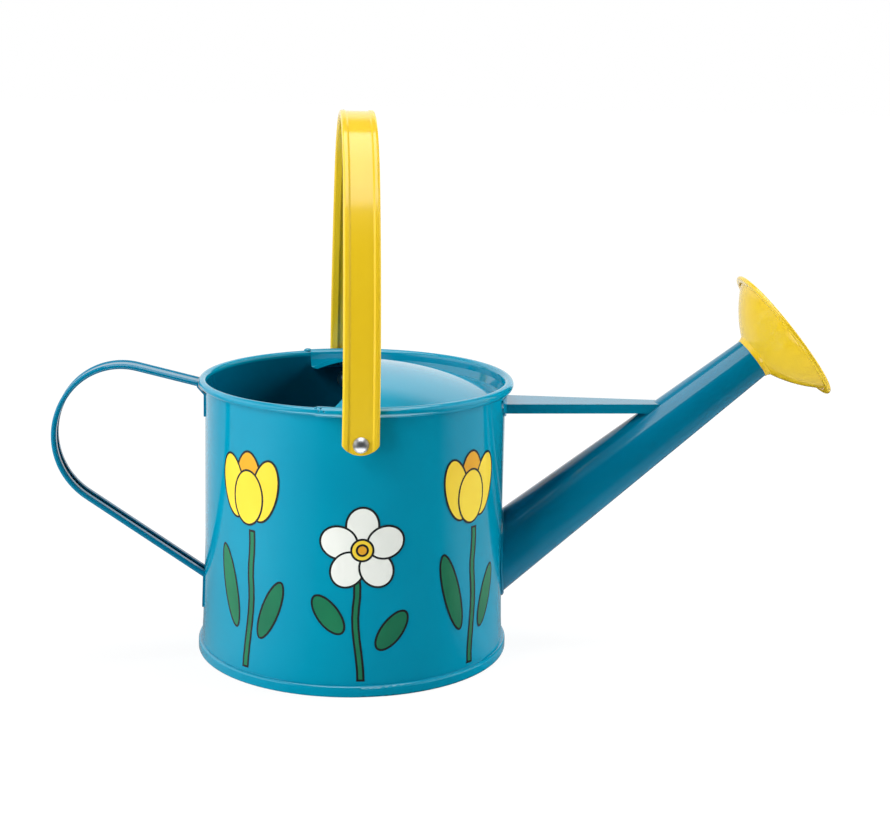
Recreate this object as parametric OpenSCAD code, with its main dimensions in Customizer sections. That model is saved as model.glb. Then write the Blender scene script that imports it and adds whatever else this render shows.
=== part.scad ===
// A small sheet-steel watering can: a round can with a half cover, a straight spout with a
// push-on rose, a fixed rear handle and a carrying bail that swings on two rivets.
// Origin: centre of the foot on the ground. +Z up, +X towards the spout, -Y the front.

/* [Can body] */
// Outside radius of the wall under the rim
wall_top_r = 66.4; // [64:0.1:69]
// Outside radius of the wall at its waist
wall_waist_r = 65.95; // [65:0.05:66.4]
// Outside radius of the wall where it starts to flare out to the foot
wall_flare_r = 66.4; // [65.5:0.1:66.5]
// Outside radius of the wall at the foot seam
wall_foot_r = 67.1; // [66.5:0.1:68]
// Height of the waist
waist_z = 50; // [40:1:70]
// Height at which the wall starts to flare out to the foot
flare_z = 26; // [20:1:35]
// Height of the rim bead's centre
rim_z = 119.8; // [116:0.2:126]
// Outside radius of the rim bead's round section
bead_r = 1.65; // [1.4:0.05:1.9]
// Thickness of the sheet in the can, cover, spout and rose
sheet = 0.5; // [0.4:0.05:0.6]
// Height of the double seam round the foot
seam_h = 4.8; // [4.2:0.1:6]
// Height of the underside of the recessed bottom panel
panel_z = 3.4; // [2.5:0.1:3.6]
// Radius of the stiffening bead pressed into the bottom panel
panel_bead_r = 48; // [30:1:58]

/* [Top cover] */
// Half of the angle, measured from the spout, over which the cover grips the rim
cover_half_angle = 106.6; // [100:0.1:107]
// Depth of the cover's ledge below the bead's centre
cover_drop = 5.4; // [4.5:0.1:6]
// Radius of the domed part of the cover
dome_r = 62; // [58:0.5:63]
// Rise of the dome above the ledge
dome_rise = 12.9; // [9:0.1:15]
// Radius of the curved filling edge, seen from above
fill_edge_r = 98; // [85:1:110]
// Distance of the middle of the filling edge from the can's axis
fill_edge_x = 2.5; // [0:0.5:8]
// Depth of the lip turned down along the filling edge
lip_depth = 1.6; // [1.2:0.1:2.2]

/* [Spout and brace] */
// Angle of the spout above the horizontal
spout_tilt = 37.9; // [36:0.1:40]
// Height at which the spout's axis meets the wall
spout_root_z = 41.5; // [40:0.1:46]
// Length of the spout along its axis
spout_len = 143.8; // [136:0.2:148]
// Outside radius of the spout at the wall
spout_root_r = 15; // [14:0.1:16]
// Outside radius of the spout at its tip
spout_tip_r = 9.65; // [9.5:0.05:10.5]
// Radius of the solder fillet between the spout and the wall
solder_r = 1.3; // [0.8:0.1:1.8]
// Width of the brace at the can
brace_root_w = 22; // [19:0.5:24]
// Width of the brace at the spout
brace_tip_w = 12; // [11:0.5:15]
// Depth of the brace's side flanges
brace_depth = 4.2; // [3.5:0.1:5]
// Height of the brace's top face at the can
brace_z = 111; // [109:0.1:112]
// Downward slope of the brace towards the spout, in degrees
brace_slope = 1.1; // [0.5:0.1:3]

/* [Handle strip] */
// Thickness of the strip that the two handles are rolled from
strip_t = 0.7; // [0.6:0.05:0.8]
// Outside radius of the strip's rolled edges
hem_r = 1.15; // [1.05:0.05:1.25]
// Width of each rolled edge on the strip's inner side
hem_w = 3.4; // [3:0.1:3.6]
// Height of the rolled edges above the strip's middle
hem_rise = 0.4; // [0.2:0.1:0.5]

/* [Rear handle] */
// Width of the rear handle
rear_w = 12; // [11:0.5:14]
// Radius of the upper part of its loop, to the outer face
rear_top_r = 28.4; // [27:0.1:31]
// Radius of the lower part of its loop, to the outer face
rear_low_r = 33.7; // [32:0.1:36]
// Distance of the lower part's centre behind the can's axis
rear_x = 98.1; // [97:0.1:102]
// Height of the lower part's centre
rear_z = 96.1; // [94:0.1:99]
// Slope of the handle's lower run, in degrees
rear_low_slope = 35; // [34:0.1:37]

/* [Bail and rivets] */
// Width of the bail
bail_w = 15.3; // [14.5:0.1:16]
// Height of the rivets that the bail turns on
pivot_z = 107.5; // [107:0.1:109]
// Distance of the rivets behind the middle of the can
pivot_back = 1.6; // [0:0.1:3]
// Distance of each arm's outer face from the middle of the can
bail_y = 72.4; // [72.2:0.1:75]
// Height of the outer face at the bail's crown
bail_top_z = 239; // [225:0.2:250]
// Radius of the bail's crown, to its outer face
bail_crown_r = 55.4; // [54:0.2:58]
// Distance from the rivet to the bottom of each arm
bail_end = 4.3; // [4.2:0.1:6]
// Radius of the rounded end of each arm
bail_end_r = 9.2; // [8:0.1:12]
// Radius of the rivets' shanks
rivet_r = 2; // [1.8:0.05:2.2]
// Radius of the rivets' heads
rivet_head_r = 3.3; // [3:0.1:3.8]
// Radial clearance of the bail on each rivet
pivot_gap = 0.05; // [0.02:0.01:0.09]
// Play on each side of the bail's arms
side_play = 0.2; // [0.1:0.05:0.3]

/* [Rose] */
// Outside radius of the rose
rose_r = 33.2; // [30:0.1:34]
// Depth of the rose from the spout's tip to its flange
rose_depth = 17.3; // [15:0.1:19]
// Outside radius of the neck that pushes into the spout
neck_r = 8.9; // [8.8:0.05:9]
// Length of the neck
neck_len = 12; // [10:1:16]
// Radial clearance of the neck in the spout
neck_gap = 0.04; // [0.02:0.01:0.09]
// Outside radius of the roll round the plate's edge
roll_r = 1.05; // [1:0.05:1.3]
// Rise of the perforated plate's middle
plate_rise = 2; // [1.5:0.1:3]
// Radius of the holes in the plate
spray_hole_r = 0.8; // [0.6:0.05:1]
// Number of rings of holes round the middle hole
spray_rings = 4; // [3:1:4]

/* [Hidden] */
$fn = 96;

can_blue = "#0c86ad";
bail_yellow = "#f1cd35";
rivet_silver = "#b9bcc0";

big = 400;                                   // larger than the whole can
eps = 0.01;                                  // overlap of joined pieces of one solid
bead_c = wall_top_r - sheet + bead_r;        // radius of the circle along the bead's centre
spout_taper = (spout_root_r - spout_tip_r) / spout_len;
socket_r = neck_r + neck_gap;                // bore in the spout's tip
rose_shoulder_r = spout_tip_r + 0.25;        // just covers the spout's tip

// Outside of the wall from the seam up to the rim, as radius and height
wall_points = [
    [wall_foot_r, seam_h],
    [wall_foot_r - 0.6 * (wall_foot_r - wall_flare_r), flare_z / 2],
    [wall_flare_r, flare_z],
    [wall_waist_r, waist_z],
    [wall_top_r, rim_z]];
wall_by_height = [for (p = wall_points) [p.y, p.x]];

// Outside radius of the wall at height z
function wall_r(z) = lookup(z, wall_by_height);

// ---------------------------------------------------------------- shared shapes

module ring2d(outer, inner) {
    difference() {
        circle(outer);
        circle(inner);
    }
}

// A ring cut down to the angles from a0 to a1, which may be up to 180 degrees apart
module arc2d(outer, inner, a0, a1) {
    reach = 1.5 * outer;
    mid = (a0 + a1) / 2;
    intersection() {
        ring2d(outer, inner);
        polygon([[0, 0], reach * [cos(a0), sin(a0)], 1.5 * reach * [cos(mid), sin(mid)],
            reach * [cos(a1), sin(a1)]]);
    }
}

// Everything inside the wall's outer face, carried straight up above the rim
module wall_solid(grow = 0) {
    top_z = 2 * rim_z;
    rotate_extrude()
        polygon([[0, 0], [wall_foot_r + grow, 0], for (p = wall_points) [p.x + grow, p.y],
            [wall_top_r + grow, top_z], [0, top_z]]);
}

// Turns children made along +Z to face the front, on the line through the two rivets
module facing_front() {
    translate([-pivot_back, 0, pivot_z])
        rotate([90, 0, 0])
            children();
}

// Places children with +Z along the spout, starting where its axis meets the wall
module along_spout() {
    translate([wall_r(spout_root_z), 0, spout_root_z])
        rotate([0, 90 - spout_tilt, 0])
            children();
}

// The spout's cone from z0 to z1 along its axis, with the given inset from its outer face
module spout_cone(z0, z1, inset = 0) {
    translate([0, 0, z0])
        cylinder(h = z1 - z0, r1 = spout_root_r - spout_taper * z0 - inset,
            r2 = spout_root_r - spout_taper * z1 - inset);
}

// ---------------------------------------------------------------- can body

module body_profile() {
    // wall, with a straight foot that runs down into the seam
    polygon([[wall_foot_r - sheet, sheet], [wall_foot_r, sheet], for (p = wall_points) p,
        for (i = [len(wall_points) - 1:-1:0]) wall_points[i] - [sheet, 0]]);
    // hook of the double seam, turned out and up
    translate([wall_foot_r - sheet, sheet])
        square([3 * sheet, sheet]);
    translate([wall_foot_r + sheet, sheet])
        square([sheet, seam_h - 2.5 * sheet]);
    // outward curl of the rim, open by a slit on its under side
    difference() {
        translate([bead_c, rim_z])
            ring2d(bead_r, bead_r - sheet);
        translate([wall_top_r + 0.05, rim_z - bead_r - eps])
            square([0.35, bead_r / 2]);
    }
}

// The lap along the wall's joint, inside the can behind the rear handle
module wall_lap() {
    lap_angle = 6;
    heights = [flare_z, waist_z, rim_z - 4];
    rotate([0, 0, 180 - lap_angle / 2])
        rotate_extrude(angle = lap_angle)
            polygon([for (z = heights) [wall_r(z) - sheet + eps, z],
                for (i = [2:-1:0]) [wall_r(heights[i]) - 2 * sheet, heights[i]]]);
}

module body_shell() {
    color(can_blue)
        difference() {
            union() {
                rotate_extrude()
                    body_profile();
                wall_lap();
            }
            // opening into the spout
            along_spout()
                cylinder(h = 50, r = spout_root_r - 2.6, center = true);
            // rivet holes
            facing_front()
                cylinder(h = big, r = rivet_r, center = true);
        }
}

module base_profile() {
    seat_r = wall_foot_r - sheet;            // inner face of the wall
    out_r = wall_foot_r + 3 * sheet;         // outer face of the seam
    round_r = 2 * sheet;                     // rounding of the seam's outer corners
    // bottom panel with its pressed bead
    translate([0, panel_z])
        square([panel_bead_r - 2, sheet]);
    translate([panel_bead_r, panel_z])
        arc2d(2 + sheet, 2, 0, 180);
    translate([panel_bead_r + 2, panel_z])
        square([seat_r - panel_bead_r - 2, sheet]);
    // wall of the recess
    translate([seat_r - sheet, 0])
        square([sheet, panel_z + sheet]);
    // sheet folded under and round the can's hook, then down behind it
    intersection() {
        union() {
            translate([seat_r - sheet, 0])
                square([out_r - seat_r + sheet, sheet]);
            translate([out_r - sheet, 0])
                square([sheet, seam_h]);
            translate([wall_foot_r, seam_h - sheet])
                square([3 * sheet, sheet]);
            translate([wall_foot_r, 3 * sheet])
                square([sheet, seam_h - 3 * sheet]);
        }
        union() {
            translate([seat_r - 2 * sheet, 0])
                square([out_r - round_r - seat_r + 2 * sheet, seam_h]);
            translate([seat_r, round_r])
                square([out_r - seat_r, seam_h - 2 * round_r]);
            for (z = [round_r, seam_h - round_r])
                translate([out_r - round_r, z])
                    circle(round_r);
        }
    }
}

module base_plate() {
    color(can_blue)
        rotate_extrude()
            base_profile();
}

// ---------------------------------------------------------------- top cover

ledge_z = rim_z - cover_drop;
dome_sphere_r = (dome_r * dome_r + dome_rise * dome_rise) / (2 * dome_rise);
dome_centre_z = ledge_z + dome_rise - dome_sphere_r;

// The cover's section, with the dome left as thick as the lip along its edge is deep
module cover_profile() {
    grip_r = bead_c - bead_r;                // inner side of the rim
    bend_z = rim_z - 2.3;                    // where the inner wall starts to lean in
    bend_r = wall_r(bend_z) - sheet;
    ledge_r = grip_r - 1.2;                  // foot of the inner wall
    // curl over the rim bead
    translate([bead_c, rim_z]) {
        arc2d(bead_r + sheet, bead_r, 60, 180);
        arc2d(bead_r + sheet, bead_r, -62, 60);
    }
    // inner wall and ledge
    polygon([[grip_r - sheet, rim_z], [bend_r - sheet, bend_z], [ledge_r - sheet, ledge_z],
        [dome_r - 0.4, ledge_z], [dome_r - 0.4, ledge_z - sheet], [ledge_r, ledge_z - sheet],
        [ledge_r, ledge_z], [bend_r, bend_z], [grip_r, rim_z]]);
    intersection() {
        translate([0, dome_centre_z])
            ring2d(dome_sphere_r, dome_sphere_r - lip_depth, $fn = 720);
        translate([0, ledge_z - sheet])
            square([dome_r, dome_rise + sheet + 1]);
    }
}

// Vertical cylinder whose wall is the filling edge
module fill_cut(r) {
    translate([fill_edge_x - fill_edge_r, 0, 0])
        cylinder(h = big, r = r, $fn = 360);
}

module top_cover() {
    color(can_blue) {
        difference() {
            rotate([0, 0, -cover_half_angle])
                rotate_extrude(angle = 2 * cover_half_angle)
                    cover_profile();
            fill_cut(fill_edge_r);
            // hollow under the dome, which leaves the lip turned down along the filling edge
            difference() {
                translate([0, 0, dome_centre_z])
                    sphere(dome_sphere_r - sheet, $fn = 720);
                fill_cut(fill_edge_r + sheet);
            }
            // two dents that pinch each end of the curl tight on the bead
            for (side = [-1, 1], dent = [1.2, 3])
                rotate([0, 0, side * (cover_half_angle - dent)])
                    translate([bead_c + bead_r + sheet + 0.25, 0, rim_z + 0.6])
                        sphere(0.65, $fn = 24);
        }
    }
}

// ---------------------------------------------------------------- spout

module spout_tube() {
    color(can_blue)
        difference() {
            along_spout()
                difference() {
                    spout_cone(-30, spout_len);
                    spout_cone(-31, spout_len - neck_len - 1, sheet);
                    translate([0, 0, spout_len - neck_len - 1 - eps])
                        cylinder(h = neck_len + 2, r = socket_r);
                }
            wall_solid();
        }
}

// Distance along the spout at which its outer face, at angle a round it, meets the wall
function root_s(a, s = 0, tries = 14) =
    let (r = spout_root_r - spout_taper * s,
        x = wall_r(spout_root_z) + s * cos(spout_tilt) - r * cos(a) * sin(spout_tilt),
        y = r * sin(a),
        z = spout_root_z + s * sin(spout_tilt) + r * cos(a) * cos(spout_tilt),
        miss = norm([x, y]) - wall_r(z))
    tries == 0 ? s : root_s(a, s - miss / cos(spout_tilt), tries - 1);

// Bead of solder along the line where the spout meets the wall
module spout_solder() {
    turns = 48;
    sides = 8;
    centres = [for (i = [0:turns - 1])
        let (a = 360 * i / turns, s = root_s(a), r = spout_root_r - spout_taper * s)
        [r * cos(a + 180), r * sin(a), s]];
    rings = [for (i = [0:turns - 1])
        let (out = [centres[i].x, centres[i].y, 0] / norm([centres[i].x, centres[i].y]))
        for (k = [0:sides - 1])
            let (b = 360 * k / sides)
            centres[i] + solder_r * (cos(b) * out + sin(b) * [0, 0, 1])];
    faces = [for (i = [0:turns - 1], k = [0:sides - 1])
        let (j = (i + 1) % turns, m = (k + 1) % sides)
        each [[i * sides + k, i * sides + m, j * sides + m],
            [i * sides + k, j * sides + m, j * sides + k]]];
    color(can_blue)
        difference() {
            along_spout()
                polyhedron(rings, faces, convexity = 4);
            along_spout()
                spout_cone(-30, 60, $fn = 480);
            wall_solid($fn = 480);
        }
}

// ---------------------------------------------------------------- brace

brace_taper = (brace_root_w - brace_tip_w) / 2 / 63;   // each side, per millimetre of length

module brace_plan(inset) {
    length = 100;
    root = brace_root_w / 2 - inset;
    tip = root - brace_taper * length;
    polygon([[0, -root], [length, -tip], [length, tip], [0, root]]);
}

// Open channel, cut to the wall at one end and to the spout at the other
module brace_channel() {
    translate([wall_r(brace_z), 0, brace_z])
        rotate([0, brace_slope, 0])
            translate([-6, 0, -brace_depth])
                difference() {
                    linear_extrude(brace_depth)
                        brace_plan(0);
                    translate([0, 0, -eps])
                        linear_extrude(brace_depth - strip_t)
                            brace_plan(strip_t);
                }
}

// Ears bent out at the can end and pressed to the wall under the rim
module brace_ears() {
    ear_angle = 21;
    ear_r = 9;
    z0 = brace_z - brace_depth;
    z1 = rim_z - 4.2;
    intersection() {
        difference() {
            wall_solid(strip_t);
            wall_solid();
        }
        translate([0, 0, z0])
            rotate([0, 0, -ear_angle])
                rotate_extrude(angle = 2 * ear_angle)
                    translate([wall_top_r - 3, 0])
                        square([8, z1 - z0]);
        // lower corners rounded, seen along the spout
        rotate([90, 0, 90])
            linear_extrude(big) {
                translate([-ear_r - 6, z0])
                    square([2 * ear_r + 12, z1 - z0]);
                for (side = [-1, 1])
                    translate([side * (ear_r + 6), z0 + ear_r])
                        circle(ear_r);
            }
    }
}

module spout_brace() {
    color(can_blue) {
        difference() {
            brace_channel();
            wall_solid();
            along_spout()
                spout_cone(0, spout_len);
            // nothing of the channel reaches past the spout
            along_spout()
                translate([0, -big / 2, 20])
                    cube([big, big, big]);
        }
        brace_ears();
    }
}

// ---------------------------------------------------------------- handle strip

// Section of the handle strip: x is outwards with 0 on the middle's outer face, y is across.
// Each edge rises over a crease, rolls round and comes back on the inner side.
module strip_section(width) {
    roll_y = width / 2 - hem_r;
    roll_x = hem_rise - hem_r;
    crease_y = width / 2 - 3;
    translate([-strip_t, -crease_y])
        square([strip_t, 2 * crease_y]);
    for (side = [0, 1])
        mirror([0, side]) {
            polygon([[0, crease_y - eps], [hem_rise, crease_y + 0.8], [hem_rise, roll_y],
                [hem_rise - strip_t, roll_y], [hem_rise - strip_t, crease_y + 0.8],
                [-strip_t, crease_y - eps]]);
            translate([roll_x, roll_y])
                arc2d(hem_r, hem_r - strip_t, 0, 180);
            translate([roll_x - hem_r, width / 2 - hem_w])
                square([strip_t, hem_w - hem_r + eps]);
        }
}

// Strip along a straight line: from start, heading angle degrees, outer face on the left
module strip_line(width, start, heading, length) {
    translate([start.x, start.y, 0])
        rotate([0, 0, heading])
            rotate([90, 0, 90])
                linear_extrude(length)
                    strip_section(width);
}

// Strip along an arc about centre, from angle a0 up to a1, outer face outside
module strip_arc(width, centre, radius, a0, a1) {
    translate([centre.x, centre.y, 0])
        rotate([0, 0, a0])
            rotate_extrude(angle = a1 - a0, $fn = 180)
                translate([radius, 0])
                    strip_section(width);
}

// ---------------------------------------------------------------- rear handle

// A tab as wide as the handle, pressed to the wall at the back of the can
module rear_tab(profile) {
    half = asin(rear_w / 2 / wall_top_r);
    rotate([0, 0, 180 - half])
        rotate_extrude(angle = 2 * half)
            polygon(profile);
}

// The upper run leaves the loop at this angle to the lower run: 44 up for 117 along
rear_bend = atan2(44, 117);
rear_top_c = [rear_top_r - rear_low_r, 0];   // centre of the loop's upper part
rear_top_slope = rear_low_slope - rear_bend;

// Distance behind the can's axis and height of a point of the loop's own frame
function rear_point(p) =
    [-rear_x + p.x * cos(rear_low_slope) + p.y * sin(rear_low_slope),
        rear_z - p.x * sin(rear_low_slope) + p.y * cos(rear_low_slope)];

// The loop and its two runs, in a frame turned so that the lower run lies along x
module rear_loop(low_len, top_len) {
    strip_line(rear_w, [low_len, -rear_low_r], 180, low_len);
    strip_arc(rear_w, [0, 0], rear_low_r, 180, 270);
    difference() {
        strip_arc(rear_w, rear_top_c, rear_top_r, 90, 180);
        // ends where the upper run starts
        linear_extrude(2 * rear_w, center = true)
            translate(rear_top_c)
                polygon([[0, 0], [-44, 117], [60, 117], [60, 0]]);
    }
    translate(rear_top_c)
        rotate([0, 0, rear_bend])
            strip_line(rear_w, [0, rear_top_r], 0, top_len);
}

module rear_handle() {
    rim_out = bead_c + bead_r;               // outer face of the rim bead
    low_start = rear_point([0, -rear_low_r]);
    top_start = rear_point(rear_top_c + rear_top_r * [-sin(rear_bend), cos(rear_bend)]);
    low_len = (2 - wall_foot_r - low_start.x) / cos(rear_low_slope);
    top_len = (-rim_out - 0.25 - top_start.x) / cos(rear_top_slope);
    low_z = low_start.y - (low_len - 3) * sin(rear_low_slope);
    top_z = top_start.y - (top_len - 0.5) * sin(rear_top_slope);
    tab_r = rim_out + 0.1;                   // inner face of the top tab beside the bead
    tab_z = rim_z - 15;                      // lower end of the top tab
    neck_z = rim_z - 5;                      // where the top tab leaves the wall
    foot_z = 19;                             // lower end of the bottom tab
    color(can_blue)
        difference() {
            union() {
                rotate([90, 0, 0])
                    translate([-rear_x, rear_z, 0])
                        rotate([0, 0, -rear_low_slope])
                            rear_loop(low_len, top_len);
                // top tab: over the bead's side, then in and down the wall
                rear_tab([[wall_r(tab_z) - 1, tab_z], [wall_r(tab_z) + strip_t, tab_z],
                    [wall_r(neck_z) + strip_t, neck_z - 0.3], [tab_r + strip_t, rim_z - 1.9],
                    [tab_r + strip_t, top_z], [tab_r, top_z], [tab_r, rim_z - 1.7],
                    [wall_r(neck_z) + 0.05, neck_z], [wall_r(neck_z) - 1, neck_z]]);
                // bottom tab: straight down the wall to the start of the flare
                rear_tab([[wall_r(flare_z) - 1, flare_z], [wall_r(flare_z) + strip_t, flare_z],
                    [wall_r(low_z) + strip_t, low_z], [wall_r(low_z) - 1, low_z]]);
                // its end, bent out with the flare
                rear_tab([[wall_r(foot_z) - 1, foot_z], [wall_r(foot_z) + strip_t, foot_z],
                    [wall_r(flare_z) + strip_t, flare_z], [wall_r(flare_z) - 1, flare_z]]);
            }
            wall_solid();
        }
}

// ---------------------------------------------------------------- bail

// The arch is three arcs that meet without a kink: the line through their centres runs
// 8 up for every 15 across, so the radii and centres differ by 17, 15 and 8 of these steps
arch_step = (bail_y - bail_crown_r) / 2;
crown_z = bail_top_z - bail_crown_r;         // centre of the crown's arc
bend_z = crown_z - 8 * arch_step;            // centre of the side arcs, where the arms bend

// One arm: straight up from the rivet, then leaning in along a long arc up to the crown
module bail_arm() {
    foot = pivot_z - bail_end;
    strip_line(bail_w, [bail_y, bend_z], -90, bend_z - foot);
    difference() {
        strip_arc(bail_w, [-15 * arch_step, bend_z], bail_crown_r + 17 * arch_step, 0, 40);
        crown_wedge();
    }
}

// Space between the two lines through the arcs' centres, above the crown's centre
module crown_wedge() {
    linear_extrude(2 * bail_w, center = true)
        polygon([[0, crown_z], [90, crown_z + 48], [90, 2 * bail_top_z], [-90, 2 * bail_top_z],
            [-90, crown_z + 48]]);
}

module bail_handle() {
    end_z = pivot_z - bail_end + bail_end_r; // centre of the rounded ends
    color(bail_yellow)
        difference() {
            translate([-pivot_back, 0, 0])
                rotate([90, 0, 90]) {
                    intersection() {
                        strip_arc(bail_w, [0, crown_z], bail_crown_r, 0, 180);
                        crown_wedge();
                    }
                    bail_arm();
                    mirror([1, 0, 0])
                        bail_arm();
                }
            // rivet holes
            facing_front()
                cylinder(h = big, r = rivet_r + pivot_gap, center = true);
            // rounded ends
            difference() {
                translate([-pivot_back - bail_w, -big / 2, end_z - bail_end_r - 1])
                    cube([2 * bail_w, big, 0.6 * bail_end_r + 1]);
                translate([-pivot_back, 0, end_z])
                    rotate([90, 0, 0])
                        cylinder(h = 2 * big, r = bail_end_r, center = true);
            }
        }
}

// ---------------------------------------------------------------- rivets

wall_in = wall_r(pivot_z) - sheet;           // inner face of the wall at the rivets
washer_t = 0.8;
washer_r = 4.4;
washer_y = wall_in - 0.35;                   // outer face of the inner washer

// A dome h high on a circle of radius r, its flat side at z = 0
module dome(r, h) {
    ball = (r * r + h * h) / (2 * h);
    rotate_extrude()
        intersection() {
            translate([0, h - ball])
                circle(ball);
            square([r + 1, h + 1]);
        }
}

module rivet() {
    head_z = bail_y + side_play;
    tail_z = washer_y - washer_t;
    color(rivet_silver) {
        translate([0, 0, tail_z - eps])
            cylinder(h = head_z - tail_z + 2 * eps, r = rivet_r);
        translate([0, 0, head_z])
            dome(rivet_head_r, 1.7);
        translate([0, 0, tail_z])
            rotate([180, 0, 0])
                dome(rivet_r + 0.9, 1.2);
    }
}

// Spacer that holds the bail's arm clear of the rim bead
module spacer() {
    color(rivet_silver)
        difference() {
            cylinder(h = bail_y - strip_t - side_play, r = 3.5);
            translate([0, 0, -1])
                cylinder(h = big, r = rivet_r);
            rotate([-90, 0, 0])
                translate([pivot_back, 0, -pivot_z])
                    wall_solid();
        }
}

// Washer under the rivet's peened tail, inside the can
module washer() {
    color(rivet_silver)
        translate([0, 0, washer_y - washer_t])
            difference() {
                cylinder(h = washer_t, r = washer_r);
                translate([0, 0, -1])
                    cylinder(h = washer_t + 2, r = rivet_r);
            }
}

module rivet_front() { facing_front() rivet(); }
module rivet_back() { mirror([0, 1, 0]) facing_front() rivet(); }
module spacer_front() { facing_front() spacer(); }
module spacer_back() { mirror([0, 1, 0]) facing_front() spacer(); }
module washer_front() { facing_front() washer(); }
module washer_back() { mirror([0, 1, 0]) facing_front() washer(); }

// ---------------------------------------------------------------- rose

bowl_r = 60;                                 // radius of the bowl's gently curved section
bowl_start = [10.8, 2.3];                    // radius and distance where the bowl leaves the neck
bowl_end = [rose_r - 3.2, rose_depth];       // where the bowl meets the flange
bowl_chord = bowl_end - bowl_start;
bowl_half = asin(norm(bowl_chord) / 2 / bowl_r);
bowl_face = atan2(-bowl_chord.x, bowl_chord.y);      // direction in which the bowl bulges
bowl_centre = (bowl_start + bowl_end) / 2
    - bowl_r * cos(bowl_half) * [cos(bowl_face), sin(bowl_face)];
roll_hollow = roll_r - sheet;                // inside radius of the roll round the plate
flange_t = 2 * roll_hollow;                  // the bell's edge, folded flat on itself

module bell_profile() {
    // neck inside the spout, and its shoulder on the spout's tip
    translate([neck_r - sheet, -neck_len])
        square([sheet, neck_len + sheet]);
    translate([neck_r - sheet, 0])
        square([rose_shoulder_r - neck_r + sheet, sheet]);
    // flared throat
    polygon([[rose_shoulder_r - sheet, eps], [rose_shoulder_r, 0], [rose_shoulder_r + 0.3, 1.2],
        bowl_start, bowl_start + [-0.25, sheet], [rose_shoulder_r - 0.4, 1.5]]);
    // bowl
    translate(bowl_centre)
        arc2d(bowl_r, bowl_r - sheet, bowl_face - bowl_half - 0.3, bowl_face + bowl_half);
    // flange, folded flat on itself and gripped in the plate's roll
    translate([bowl_end.x - sheet, bowl_end.y])
        square([rose_r - roll_r - bowl_end.x + sheet, flange_t]);
}

module rose_bell() {
    color(bail_yellow)
        along_spout()
            translate([0, 0, spout_len])
                rotate_extrude()
                    bell_profile();
}

// Plate with its edge rolled round the bell's flange
module plate_profile() {
    seat_z = rose_depth + flange_t;          // front face of the bell's flange
    flat_r = rose_r - 3;                     // radius at which the dome starts
    ball = (flat_r * flat_r + plate_rise * plate_rise) / (2 * plate_rise);
    intersection() {
        translate([0, seat_z + sheet + plate_rise - ball])
            ring2d(ball, ball - sheet, $fn = 720);
        translate([0, seat_z])
            square([flat_r, plate_rise + 2 * sheet]);
    }
    translate([flat_r - 0.4, seat_z])
        square([rose_r - roll_r - flat_r + 0.4, sheet]);
    translate([rose_r - roll_r, rose_depth + roll_hollow])
        arc2d(roll_r, roll_hollow, -90, 90);
    translate([rose_r - 2.6, rose_depth - sheet])
        square([2.6 - roll_r, sheet]);
}

module rose_plate() {
    ring_step = (rose_r - 6) / spray_rings;
    color(bail_yellow)
        along_spout()
            translate([0, 0, spout_len])
                difference() {
                    rotate_extrude()
                        plate_profile();
                    translate([0, 0, rose_depth])
                        cylinder(h = 10, r = spray_hole_r, $fn = 24);
                    for (ring = [1:spray_rings], i = [0:6 * ring - 1])
                        rotate([0, 0, 360 * i / (6 * ring)])
                            translate([ring * ring_step, 0, rose_depth])
                                cylinder(h = 10, r = spray_hole_r, $fn = 24);
                }
}

body_shell();
base_plate();
top_cover();
spout_tube();
spout_solder();
spout_brace();
rear_handle();
bail_handle();
rivet_front();
rivet_back();
spacer_front();
spacer_back();
washer_front();
washer_back();
rose_bell();
rose_plate();
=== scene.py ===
from math import cos, pi, radians, sin

import bpy
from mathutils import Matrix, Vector


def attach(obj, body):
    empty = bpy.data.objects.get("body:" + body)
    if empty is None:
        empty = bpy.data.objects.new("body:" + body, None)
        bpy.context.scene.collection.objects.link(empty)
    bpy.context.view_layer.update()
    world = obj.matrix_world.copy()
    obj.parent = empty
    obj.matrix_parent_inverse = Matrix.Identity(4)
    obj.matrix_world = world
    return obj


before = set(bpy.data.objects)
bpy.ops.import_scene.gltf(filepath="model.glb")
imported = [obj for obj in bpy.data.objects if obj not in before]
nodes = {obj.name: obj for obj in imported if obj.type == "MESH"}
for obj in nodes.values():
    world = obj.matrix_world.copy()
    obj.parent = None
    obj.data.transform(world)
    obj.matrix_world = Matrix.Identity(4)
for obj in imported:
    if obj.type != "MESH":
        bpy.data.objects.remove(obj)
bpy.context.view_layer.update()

# ---------------------------------------------------------------- camera
# A long lens at about the height of the bail's arms, level enough to show the mouth of the
# can as a flat ellipse. The picture is shifted rather than the camera tipped down.
view = bpy.data.cameras.new("view")
view.lens = 70.2412
view.shift_x = -0.039326
view.shift_y = -0.179775
view.clip_end = 20
camera = bpy.data.objects.new("view", view)
bpy.context.collection.objects.link(camera)
camera.location = (-0.03915, -0.75823, 0.2711)
camera.rotation_euler = (radians(83.0825), radians(-1.3537), radians(-6.8197))
bpy.context.scene.camera = camera


# ---------------------------------------------------------------- floor and light
# A seamless white sweep under soft boxes at the left, the right and the rear top. What the
# gloss mirrors is set apart from them: white behind and at the left, grey at the right, and
# dark in front. It is fitted to the front view, so from elsewhere it is only plausible.
def linear(hex_colour):
    """An sRGB hex colour as linear RGBA."""
    parts = [int(hex_colour[i:i + 2], 16) / 255 for i in (1, 3, 5)]
    return [c / 12.92 if c <= 0.04045 else ((c + 0.055) / 1.055) ** 2.4 for c in parts] + [1]


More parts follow.
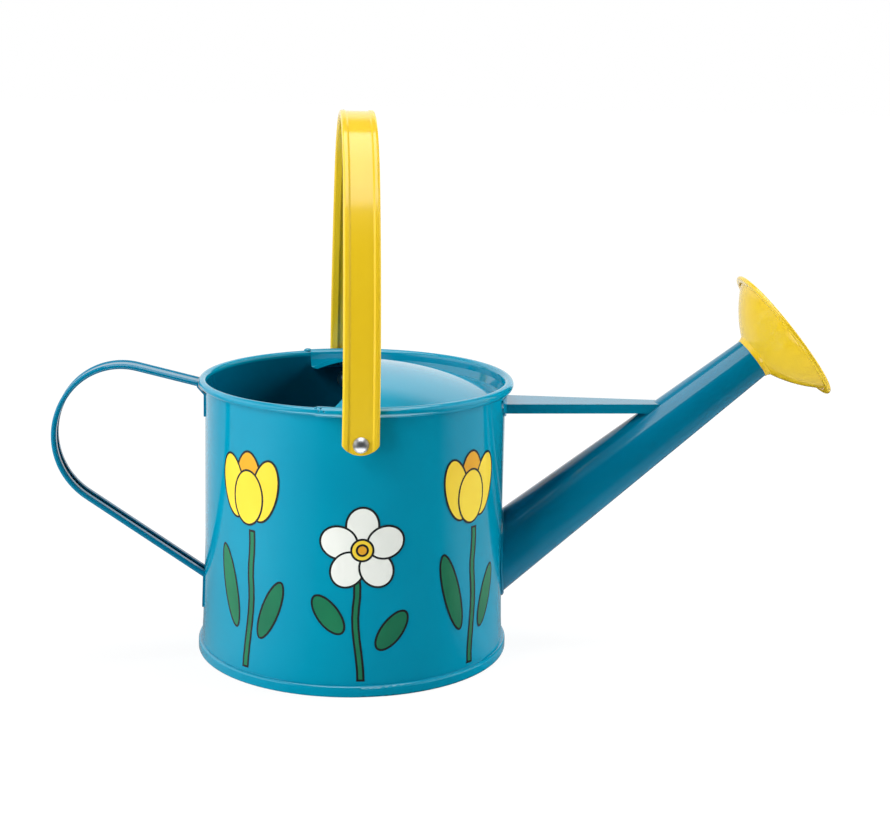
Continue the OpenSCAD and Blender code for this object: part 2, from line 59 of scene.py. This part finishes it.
def add(tree, kind, settings=None, **links):
    """Adds a node. A key of settings is one of its inputs or properties; a link is an output
    socket, named by the input it goes to, or i0, i1 ... by that input's number."""
    node = tree.nodes.new("ShaderNode" + kind)
    for key, value in (settings or {}).items():
        if isinstance(key, int) or key in node.inputs:
            node.inputs[key].default_value = value
        else:
            setattr(node, key, value)
    for key, socket in links.items():
        name = key.replace("_", " ")
        tree.links.new(socket, node.inputs[int(key[1:]) if key[1:].isdigit() else name])
    return node


def new_material(name):
    material = bpy.data.materials.new(name)
    material.use_nodes = True
    material.node_tree.nodes.clear()
    return material, material.node_tree


def brightness_round(tree, x, y, stops):
    """Brightness by bearing: stops are (degrees from the front, + to the right; brightness)."""
    back = add(tree, "Math", {"operation": "MULTIPLY", 1: -1.0}, i0=y)
    bearing = add(tree, "Math", {"operation": "ARCTAN2"}, i0=x, i1=back.outputs[0])
    share = add(tree, "Math", {"operation": "MULTIPLY_ADD", 1: 0.5 / pi, 2: 0.5},
                i0=bearing.outputs[0])
    ramp = add(tree, "ValToRGB", i0=share.outputs[0])
    marks = ramp.color_ramp.elements
    while len(marks) < len(stops):
        marks.new(0.5)
    for mark, (degrees, level) in zip(marks, stops):
        mark.position = degrees / 360 + 0.5
        mark.color = (level, level, level, 1)
    return ramp.outputs[0]


def reflected_ray(tree, rays):
    return add(tree, "Math", {"operation": "MAXIMUM"}, i0=rays.outputs["Is Glossy Ray"],
               i1=rays.outputs["Is Transmission Ray"]).outputs[0]


bpy.ops.mesh.primitive_plane_add(size=12, location=(0, 0, 0))
floor = bpy.context.object
floor.name = "floor"
# Matt white paper: it shows pure white and keeps a soft shadow close to the can. Its mirror
# image in the gloss is a glow set by bearing, one ramp near the foot and one farther off.
paper, tree = new_material("seamless white paper")
rays = add(tree, "LightPath")
place = add(tree, "TexCoord").outputs["Object"]
parts = add(tree, "SeparateXYZ", Vector=place)
distance = add(tree, "VectorMath", {"operation": "LENGTH"}, i0=place)
shade_kept = add(tree, "MapRange", {"From Min": 0.30, "From Max": 0.62, "To Min": 0.85,
                                    "To Max": 1.0}, Value=distance.outputs["Value"])
seen = add(tree, "Math", {"operation": "MULTIPLY"}, i0=rays.outputs["Is Camera Ray"],
           i1=shade_kept.outputs[0])
near = brightness_round(tree, parts.outputs["X"], parts.outputs["Y"], (
    (-180, 0.75), (-150, 0.58), (-130, 0.38), (-119, 0.26), (-71, 0.38), (-45, 0.12),
    (-25, 0.01), (55, 0.01), (75, 0.28), (106, 0.26), (150, 0.40), (180, 0.75)))
far = brightness_round(tree, parts.outputs["X"], parts.outputs["Y"], (
    (-180, 0.9), (-150, 0.80), (-136, 0.60), (-119, 0.32), (-71, 0.38), (-45, 0.12),
    (-25, 0.01), (58, 0.01), (74, 0.30), (114, 0.34), (118, 0.01), (146, 0.01), (152, 0.9),
    (180, 0.9)))
away = add(tree, "MapRange", {"From Min": 0.13, "From Max": 0.20},
           Value=distance.outputs["Value"])
mirrored = add(tree, "Mix", i0=away.outputs[0], i2=near, i3=far).outputs[0]
reflected = reflected_ray(tree, rays)
lit = add(tree, "Mix", i0=reflected, i3=mirrored)
lit.inputs[2].default_value = 1.05
share = add(tree, "Math", {"operation": "MULTIPLY_ADD", 1: 1.0}, i0=reflected,
            i2=seen.outputs[0])
matte = add(tree, "BsdfDiffuse", {"Color": linear("#e6e6e6")})
shown = add(tree, "Emission", {"Color": linear("#ffffff")}, Strength=lit.outputs[0])
mixed = add(tree, "MixShader", i0=share.outputs[0], i1=matte.outputs[0], i2=shown.outputs[0])
add(tree, "OutputMaterial", Surface=mixed.outputs[0])
floor.data.materials.append(paper)

# The studio round the sweep is seen as white. In the gloss it is white behind and at the left,
# grey at the right, dark in front and in a gap at the right rear, and dim overhead.
world = bpy.data.worlds.new("studio")
bpy.context.scene.world = world
world.use_nodes = True
tree = world.node_tree
tree.nodes.clear()
rays = add(tree, "LightPath")
parts = add(tree, "SeparateXYZ", Vector=add(tree, "TexCoord").outputs["Generated"])
round_about = brightness_round(tree, parts.outputs["X"], parts.outputs["Y"], (
    (-180, 1.0), (-60, 1.0), (-42, 0.05), (-25, 0.01), (45, 0.01), (65, 0.60), (114, 0.60),
    (118, 0.02), (146, 0.02), (152, 1.0), (180, 1.0)))
overhead = add(tree, "MapRange", {"From Min": 0.55, "From Max": 0.72, "To Min": 0.0,
                                  "To Max": 1.0, "interpolation_type": "SMOOTHSTEP"},
               Value=parts.outputs["Z"])
gloss = add(tree, "Mix", i0=overhead.outputs[0], i2=round_about)
gloss.inputs[3].default_value = 0.20
lit = add(tree, "Math", {"operation": "MULTIPLY"}, i0=reflected_ray(tree, rays),
          i1=gloss.outputs[0])
strength = add(tree, "Math", {"operation": "MAXIMUM"}, i0=lit.outputs[0],
               i1=rays.outputs["Is Camera Ray"])
backdrop = add(tree, "Background", {"Color": linear("#ffffff")}, Strength=strength.outputs[0])
add(tree, "OutputWorld", Surface=backdrop.outputs[0])


def soft_box(name, place, aim, width, height, watts, mirrored=False, spread=180):
    """A rectangular lamp at place, turned to aim; a mirrored one also shows in the gloss."""
    lamp = bpy.data.lights.new(name, "AREA")
    lamp.spread = radians(spread)
    lamp.shape = "RECTANGLE"
    lamp.size = width
    lamp.size_y = height
    lamp.energy = watts
    box = bpy.data.objects.new(name, lamp)
    bpy.context.collection.objects.link(box)
    box.location = place
    box.rotation_euler = (Vector(aim) - Vector(place)).to_track_quat("-Z", "Y").to_euler()
    box.visible_camera = False
    box.visible_glossy = mirrored
    return box


soft_box("left box", (-1.20, -0.48, 0.60), (0, 0, 0.10), 0.35, 0.8, 9.8)
soft_box("high left box", (-0.70, -0.61, 0.98), (0, 0, 0.10), 0.4, 0.4, 5.6)
soft_box("low left box", (-0.60, -0.50, 0.15), (0, 0, 0.10), 0.3, 0.2, 1.8)
soft_box("right box", (1.20, -0.12, 0.50), (0.03, 0, 0.10), 0.5, 0.9, 10.0)
soft_box("right rear box", (1.10, 0.45, 0.50), (0.03, 0, 0.10), 0.5, 0.9, 12.7)
soft_box("rear top box", (0.03, 0.15, 1.20), (0.03, 0.151, 0), 1.15, 0.5, 11.3)
for box in (
        soft_box("top panel", (0.03, -0.29, 1.20), (0.03, -0.289, 0), 1.15, 1.42, 12.6, True),
        soft_box("high left panel", (-0.62, -0.54, 0.89), (0, 0, 0.10), 0.14, 0.2, 0.030, True),
        soft_box("lit table", (-0.02, -0.165, 0.003), (-0.02, -0.164, 1), 0.3, 0.17, 0.30, True,
                 spread=120)):
    box.visible_diffuse = False              # these only show as highlights in the gloss


# ---------------------------------------------------------------- can, cover, spout, handle
# Thin steel sheet, rolled, crimped and soldered, then sprayed and baked with a glossy blue
# enamel. The spray leaves a faint orange peel and very slight changes of depth. The wall's
# hidden side is painted a darker blue as painted shade.
def enamel(name, colour, deeper, roughness, inside_shade=None, gloss=0.9):
    """Baked enamel, its depth drifting between two colours. A third colour, if given, is painted
    shade on the hidden side of the wall."""
    peel_mm = 2.6                            # width of the orange peel's dimples
    clouds, waves = 22.0, 60.0               # drifts of depth and slow waves of the sheet, per m
    material, tree = new_material(name)
    coords = add(tree, "TexCoord")
    place = coords.outputs["Object"]
    cloud = add(tree, "TexNoise", {"Scale": clouds, "Detail": 3.0}, Vector=place)
    blend = add(tree, "MapRange", {"From Min": 0.35, "From Max": 0.65},
                Value=cloud.outputs["Fac"])
    tint = add(tree, "Mix", {"data_type": "RGBA", 6: linear(colour), 7: linear(deeper)},
               i0=blend.outputs[0])
    paint = tint.outputs[2]
    if inside_shade:
        # painted shade on the hidden side: faces turned to the can's axis, within the wall and
        # below the rim
        facing_in = (-0.1, -0.5)             # outward share of the normal
        below_rim = (0.1196, 0.1186)         # height, m
        in_wall = (0.0670, 0.0667)           # radius, m
        flat_place = add(tree, "VectorMath", {"operation": "MULTIPLY", 1: (1, 1, 0)}, i0=place)
        outward = add(tree, "VectorMath", {"operation": "NORMALIZE"}, i0=flat_place.outputs[0])
        facing = add(tree, "VectorMath", {"operation": "DOT_PRODUCT"}, i0=outward.outputs[0],
                     i1=coords.outputs["Normal"])
        height = add(tree, "SeparateXYZ", Vector=place)
        radius = add(tree, "VectorMath", {"operation": "LENGTH"}, i0=flat_place.outputs[0])
        shares = [add(tree, "MapRange", {"From Min": span[0], "From Max": span[1]},
                      Value=socket).outputs[0]
                  for span, socket in ((facing_in, facing.outputs["Value"]),
                                       (below_rim, height.outputs["Z"]),
                                       (in_wall, radius.outputs["Value"]))]
        mask = shares[0]
        for share in shares[1:]:
            mask = add(tree, "Math", {"operation": "MULTIPLY"}, i0=mask, i1=share).outputs[0]
        shade = add(tree, "Mix", {"data_type": "RGBA", 7: linear(inside_shade)}, i0=mask, i6=paint)
        paint = shade.outputs[2]
    sheen = add(tree, "MapRange", {"To Min": roughness * 0.8, "To Max": roughness * 1.25},
                Value=cloud.outputs["Fac"])
    peel = add(tree, "TexNoise", {"Scale": 1000 / peel_mm, "Detail": 1.5}, Vector=place)
    wave = add(tree, "TexNoise", {"Scale": waves, "Detail": 1.0}, Vector=place)
    relief = add(tree, "Math", {"operation": "MULTIPLY_ADD", 1: 0.12}, i0=peel.outputs["Fac"],
                 i2=wave.outputs["Fac"])
    bump = add(tree, "Bump", {"Strength": 0.35, "Distance": 0.00012}, Height=relief.outputs[0])
    skin = add(tree, "BsdfPrincipled", {"IOR": 1.5, "Specular IOR Level": gloss},
               Base_Color=paint, Roughness=sheen.outputs[0], Normal=bump.outputs[0])
    add(tree, "OutputMaterial", Surface=skin.outputs[0])
    return material


# Sprayed and baked on the can: a wet, glassy cerulean; its hidden side is painted darker as
# painted shade.
blue = enamel("cerulean baked enamel", "#008dab", "#0089a8", 0.06, inside_shade="#005a78")
for name in ("body_shell", "base_plate"):
    nodes[name].material_slots[0].material = blue

# The same blue on the cover, without the painted shade on its hidden side.
cover_blue = enamel("cerulean baked enamel, cover", "#008dab", "#0089a8", 0.06)
nodes["top_cover"].material_slots[0].material = cover_blue

# The round spout and the handle strip take a deeper blue, painted shade, and a less milky gloss.
# A thicker coat is a guess.
shaded_blue = enamel("cerulean baked enamel, painted shade", "#007090", "#006d8d", 0.06,
                    gloss=0.55)
for name in ("spout_tube", "spout_solder", "rear_handle"):
    nodes[name].material_slots[0].material = shaded_blue

# The flat brace is painted between the two, with half that painted shade.
brace_blue = enamel("cerulean baked enamel, brace", "#007d9d", "#007a99", 0.06, gloss=0.75)
nodes["spout_brace"].material_slots[0].material = brace_blue


# ---------------------------------------------------------------- crimps at the cover's ends
# The sheet pushed up out of the rolled rim where the cover's curl is pinched on it: an oval
# button behind the far end and two small pips on the near one, under the same blue enamel.
bead_ring_mm = 67.55                         # radius of the circle along the bead's centre
bead_height_mm = 119.8
kept_below = 0.3                             # share of a lump's height below its middle


def crimp(name, bearing, tilt, out, length, width, height):
    """An oval lump, cut flat underneath, its middle out from the bead's centre, tilt degrees
    outwards from the top, bearing degrees from the front. Millimetres."""
    bpy.ops.object.select_all(action="DESELECT")
    bpy.ops.mesh.primitive_uv_sphere_add(segments=32, ring_count=20, radius=0.0005)
    lump = bpy.context.object
    lump.name = name
    bpy.ops.object.mode_set(mode="EDIT")
    bpy.ops.transform.resize(value=(length, width, 2 * height))
    bpy.ops.mesh.bisect(plane_co=(0, 0, -0.001 * kept_below * height), plane_no=(0, 0, 1),
                        use_fill=True, clear_inner=True)
    bpy.ops.object.mode_set(mode="OBJECT")
    bpy.ops.object.shade_smooth_by_angle(angle=radians(40))
    turn, lean = radians(bearing), radians(tilt)
    reach = bead_ring_mm + out * sin(lean)
    lump.location = (0.001 * reach * sin(turn), -0.001 * reach * cos(turn),
                     0.001 * (bead_height_mm + out * cos(lean)))
    lump.rotation_euler = (lean, 0, turn)
    bpy.ops.object.transform_apply(location=True, rotation=True, scale=True)
    lump.data.materials.append(blue)
    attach(lump, "can")


# name, bearing, tilt, distance out, length, width, height
crimp("crimp_button", -162.6, 0, 1.7, 3.9, 2.8, 1.0)
crimp("crimp_pip_left", -16.7, 38, 1.9, 1.2, 1.2, 0.75)
crimp("crimp_pip_right", -15.2, 38, 2.1, 1.2, 1.2, 0.75)


# ---------------------------------------------------------------- printed flowers
# Tulips and five-petal blossoms, screen-printed in flat colours with a dark outline on the
# sheet and lacquered over. Each ink is a film a few hundredths of a millimetre thick.
ink_edge = 0.9                               # width of the dark outline, mm
ink_lift = 0.08                              # the lowest film's surface above the wall, mm
ink_layer = 0.03                             # each further film, mm
stem_foot = 6.5                              # height at which the stems start, mm
strip = 2.5                                  # width of the strips bent round the wall, mm
# height and radius of the wall's outside, mm
wall_shape = ((4.8, 67.1), (13, 66.68), (26, 66.4), (50, 65.95), (119.8, 66.4))
print_radius = 66.2                          # mean radius, at which widths are true, mm

# Flat opaque inks that take a softer gloss than the enamel from their thin lacquer.
inks = {"yellow": enamel("yellow ink under lacquer", "#f1d63c", "#ecc72c", 0.18),
        "amber": enamel("amber ink under lacquer", "#e2a71f", "#d99a18", 0.18),
        "white": enamel("white ink under lacquer", "#eef0ea", "#e3e7e0", 0.18),
        "green": enamel("leaf green ink under lacquer", "#1c7a52", "#14694a", 0.18),
        "outline": enamel("charcoal ink under lacquer", "#22282a", "#1b2022", 0.20)}
ink_order = list(inks)


def film(ink, layer, drawing):
    """Finishes the flat shape in edit mode: outline, ink, height of its layer. Millimetres."""
    shape = bpy.context.object
    for colour in inks.values():
        shape.data.materials.append(colour)
    shape.active_material_index = ink_order.index("outline")
    bpy.ops.mesh.select_all(action="SELECT")
    bpy.ops.object.material_slot_assign()
    bpy.ops.mesh.inset(thickness=ink_edge)
    shape.active_material_index = ink_order.index(ink)
    bpy.ops.object.material_slot_assign()
    bpy.ops.mesh.select_all(action="SELECT")
    bpy.ops.transform.translate(value=(0, -ink_layer * layer, 0))
    bpy.ops.object.mode_set(mode="OBJECT")
    drawing.append(shape)


def petal(drawing, ink, layer, middle, width, height, lean=0, tip=0):
    """An oval whose top is drawn out by tip, leaning to the left by lean degrees."""
    bpy.ops.object.select_all(action="DESELECT")
    bpy.ops.mesh.primitive_circle_add(vertices=40, radius=1, fill_type="NGON",
                                      rotation=(pi / 2, 0, 0))
    bpy.ops.object.transform_apply(location=True, rotation=True, scale=True)
    bpy.ops.object.mode_set(mode="EDIT")
    bpy.ops.mesh.select_all(action="SELECT")
    bpy.ops.transform.resize(value=(width / 2, 1, height / 2))
    bpy.ops.object.mode_set(mode="OBJECT")
    shape = bpy.context.object
    if tip:
        top = max(shape.data.vertices, key=lambda v: v.co.z)
        for vertex in shape.data.vertices:
            vertex.select = vertex == top
        bpy.ops.object.mode_set(mode="EDIT")
        bpy.ops.mesh.select_mode(type="VERT")
        bpy.ops.transform.translate(value=(0, 0, tip), use_proportional_edit=True,
                                    proportional_edit_falloff="SHARP",
                                    proportional_size=0.8 * width)
    else:
        bpy.ops.object.mode_set(mode="EDIT")
    bpy.ops.mesh.select_all(action="SELECT")
    bpy.ops.transform.rotate(value=radians(lean), orient_axis="Y", center_override=(0, 0, 0))
    bpy.ops.transform.translate(value=(middle[0], 0, middle[1]))
    film(ink, layer, drawing)


def stem(drawing, top, width, sway):
    """A strip from the stems' foot up to top, bowed sideways by sway."""
    bpy.ops.object.select_all(action="DESELECT")
    bpy.ops.mesh.primitive_plane_add(size=1, rotation=(pi / 2, 0, 0))
    bpy.ops.object.transform_apply(location=True, rotation=True, scale=True)
    bpy.ops.object.mode_set(mode="EDIT")
    bpy.ops.transform.resize(value=(width, 1, top - stem_foot))
    bpy.ops.transform.translate(value=(0, 0, (top + stem_foot) / 2))
    pieces = 12
    for step in range(1, pieces):
        height = stem_foot + (top - stem_foot) * step / pieces
        bpy.ops.mesh.select_all(action="SELECT")
        bpy.ops.mesh.bisect(plane_co=(0, 0, height), plane_no=(0, 0, 1))
    bpy.ops.object.mode_set(mode="OBJECT")
    shape = bpy.context.object
    for vertex in shape.data.vertices:
        vertex.select = abs(vertex.co.z - (top + stem_foot) / 2) < 1e-3
    bpy.ops.object.mode_set(mode="EDIT")
    bpy.ops.mesh.select_mode(type="VERT")
    bpy.ops.transform.translate(value=(sway, 0, 0), use_proportional_edit=True,
                                proportional_edit_falloff="SMOOTH",
                                proportional_size=(top - stem_foot) / 2)
    film("green", 0, drawing)


def plant(name, drawing):
    """Joins the flat shapes and cuts them so that they can be bent round the wall."""
    bpy.ops.object.select_all(action="DESELECT")
    for shape in drawing:
        shape.select_set(True)
    bpy.context.view_layer.objects.active = drawing[0]
    bpy.ops.object.join()
    flower = bpy.context.object
    flower.name = name
    bpy.ops.object.mode_set(mode="EDIT")
    for step in range(-9, 10):
        bpy.ops.mesh.select_all(action="SELECT")
        bpy.ops.mesh.bisect(plane_co=(strip * step, 0, 0), plane_no=(1, 0, 0))
    for height, radius in wall_shape[1:-1]:
        bpy.ops.mesh.select_all(action="SELECT")
        bpy.ops.mesh.bisect(plane_co=(0, 0, height), plane_no=(0, 0, 1))
    bpy.ops.object.mode_set(mode="OBJECT")
    return flower


def wall_radius(height):
    """Radius of the wall's outside at a height. Millimetres."""
    for (low, r_low), (high, r_high) in zip(wall_shape, wall_shape[1:]):
        if height <= high:
            return r_low + (r_high - r_low) * (height - low) / (high - low)


def print_on_wall(flower, name, bearing):
    """A copy of the flat flower bent round the wall, bearing degrees from the front."""
    copy = flower.copy()
    copy.data = flower.data.copy()
    copy.name = name
    bpy.context.collection.objects.link(copy)
    for vertex in copy.data.vertices:
        across, lift, height = vertex.co
        turn = radians(bearing) + across / print_radius
        reach = wall_radius(height) + ink_lift - lift
        vertex.co = (0.001 * reach * sin(turn), -0.001 * reach * cos(turn), 0.001 * height)
    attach(copy, "can")


# petals and leaves: ink, layer, middle across and up, width, height
drawing = []
stem(drawing, 66, 3.6, 2.5)
petal(drawing, "green", 1, (-8, 30), 9.5, 36, lean=16, tip=10)
petal(drawing, "green", 1, (9, 25), 9, 28, lean=-22, tip=9)
petal(drawing, "amber", 2, (0, 80), 15, 27, tip=6)
petal(drawing, "yellow", 3, (-7.5, 77.5), 14, 28, lean=13, tip=6)
petal(drawing, "yellow", 3, (7.5, 77.5), 14, 28, lean=-13, tip=6)
petal(drawing, "yellow", 4, (0, 74.5), 17, 24, tip=5)
tulip = plant("tulip drawing", drawing)

heart, petal_ring = 62, 10.2                 # height of the heart, its petals' distance, mm
drawing = []
stem(drawing, 60, 3.4, -2.5)
petal(drawing, "green", 1, (-9.5, 29), 10, 20, lean=38, tip=7)
petal(drawing, "green", 1, (8.5, 22), 10, 20, lean=-38, tip=7)
for number in range(5):
    turn = radians(72 * number)
    middle = (-petal_ring * sin(turn), heart + petal_ring * cos(turn))
    petal(drawing, "white", 2 + 0.4 * number, middle, 14.5, 16.5, lean=72 * number)
petal(drawing, "yellow", 5, (0, heart), 10, 10)
petal(drawing, "amber", 6, (0, heart), 5.4, 5.4)
blossom = plant("blossom drawing", drawing)

# none stands at the sides, where the spout and the rear handle are soldered on
for bearing in (-135, -45, 45, 135):
    print_on_wall(tulip, "tulip_%d" % bearing, bearing)
for bearing in (0, 180):
    print_on_wall(blossom, "blossom_%d" % bearing, bearing)
for drawn in (tulip, blossom):
    bpy.data.objects.remove(drawn)


# ---------------------------------------------------------------- bail and rose
# A steel strip with rolled edges, hooked on two rivets, and a spun rose pushed into the spout,
# both sprayed and baked in yellow apart from the can: opaque and a little softer in its gloss.
yellow = enamel("warm yellow baked enamel", "#e2bf26", "#dfba1f", 0.12)
for name in ("bail_handle", "rose_bell", "rose_plate"):
    nodes[name].material_slots[0].material = yellow


# ---------------------------------------------------------------- rivets
# Bright zinc-plated steel: headed on the bail's arms and peened over washers inside the can.
# The plating gives the eye a cool grey mirror with a fine grain.
zinc, tree = new_material("zinc-plated steel")
place = add(tree, "TexCoord").outputs["Object"]
grain = add(tree, "TexNoise", {"Scale": 1800.0, "Detail": 3.0}, Vector=place)
rough = add(tree, "MapRange", {"To Min": 0.32, "To Max": 0.46}, Value=grain.outputs["Fac"])
metal = add(tree, "BsdfPrincipled", {"Base Color": linear("#c9ccd0"), "Metallic": 1.0},
            Roughness=rough.outputs[0])
add(tree, "OutputMaterial", Surface=metal.outputs[0])
for name in ("rivet_front", "rivet_back", "spacer_front", "spacer_back", "washer_front",
             "washer_back"):
    nodes[name].material_slots[0].material = zinc

bpy.context.scene.view_settings.view_transform = "Standard"
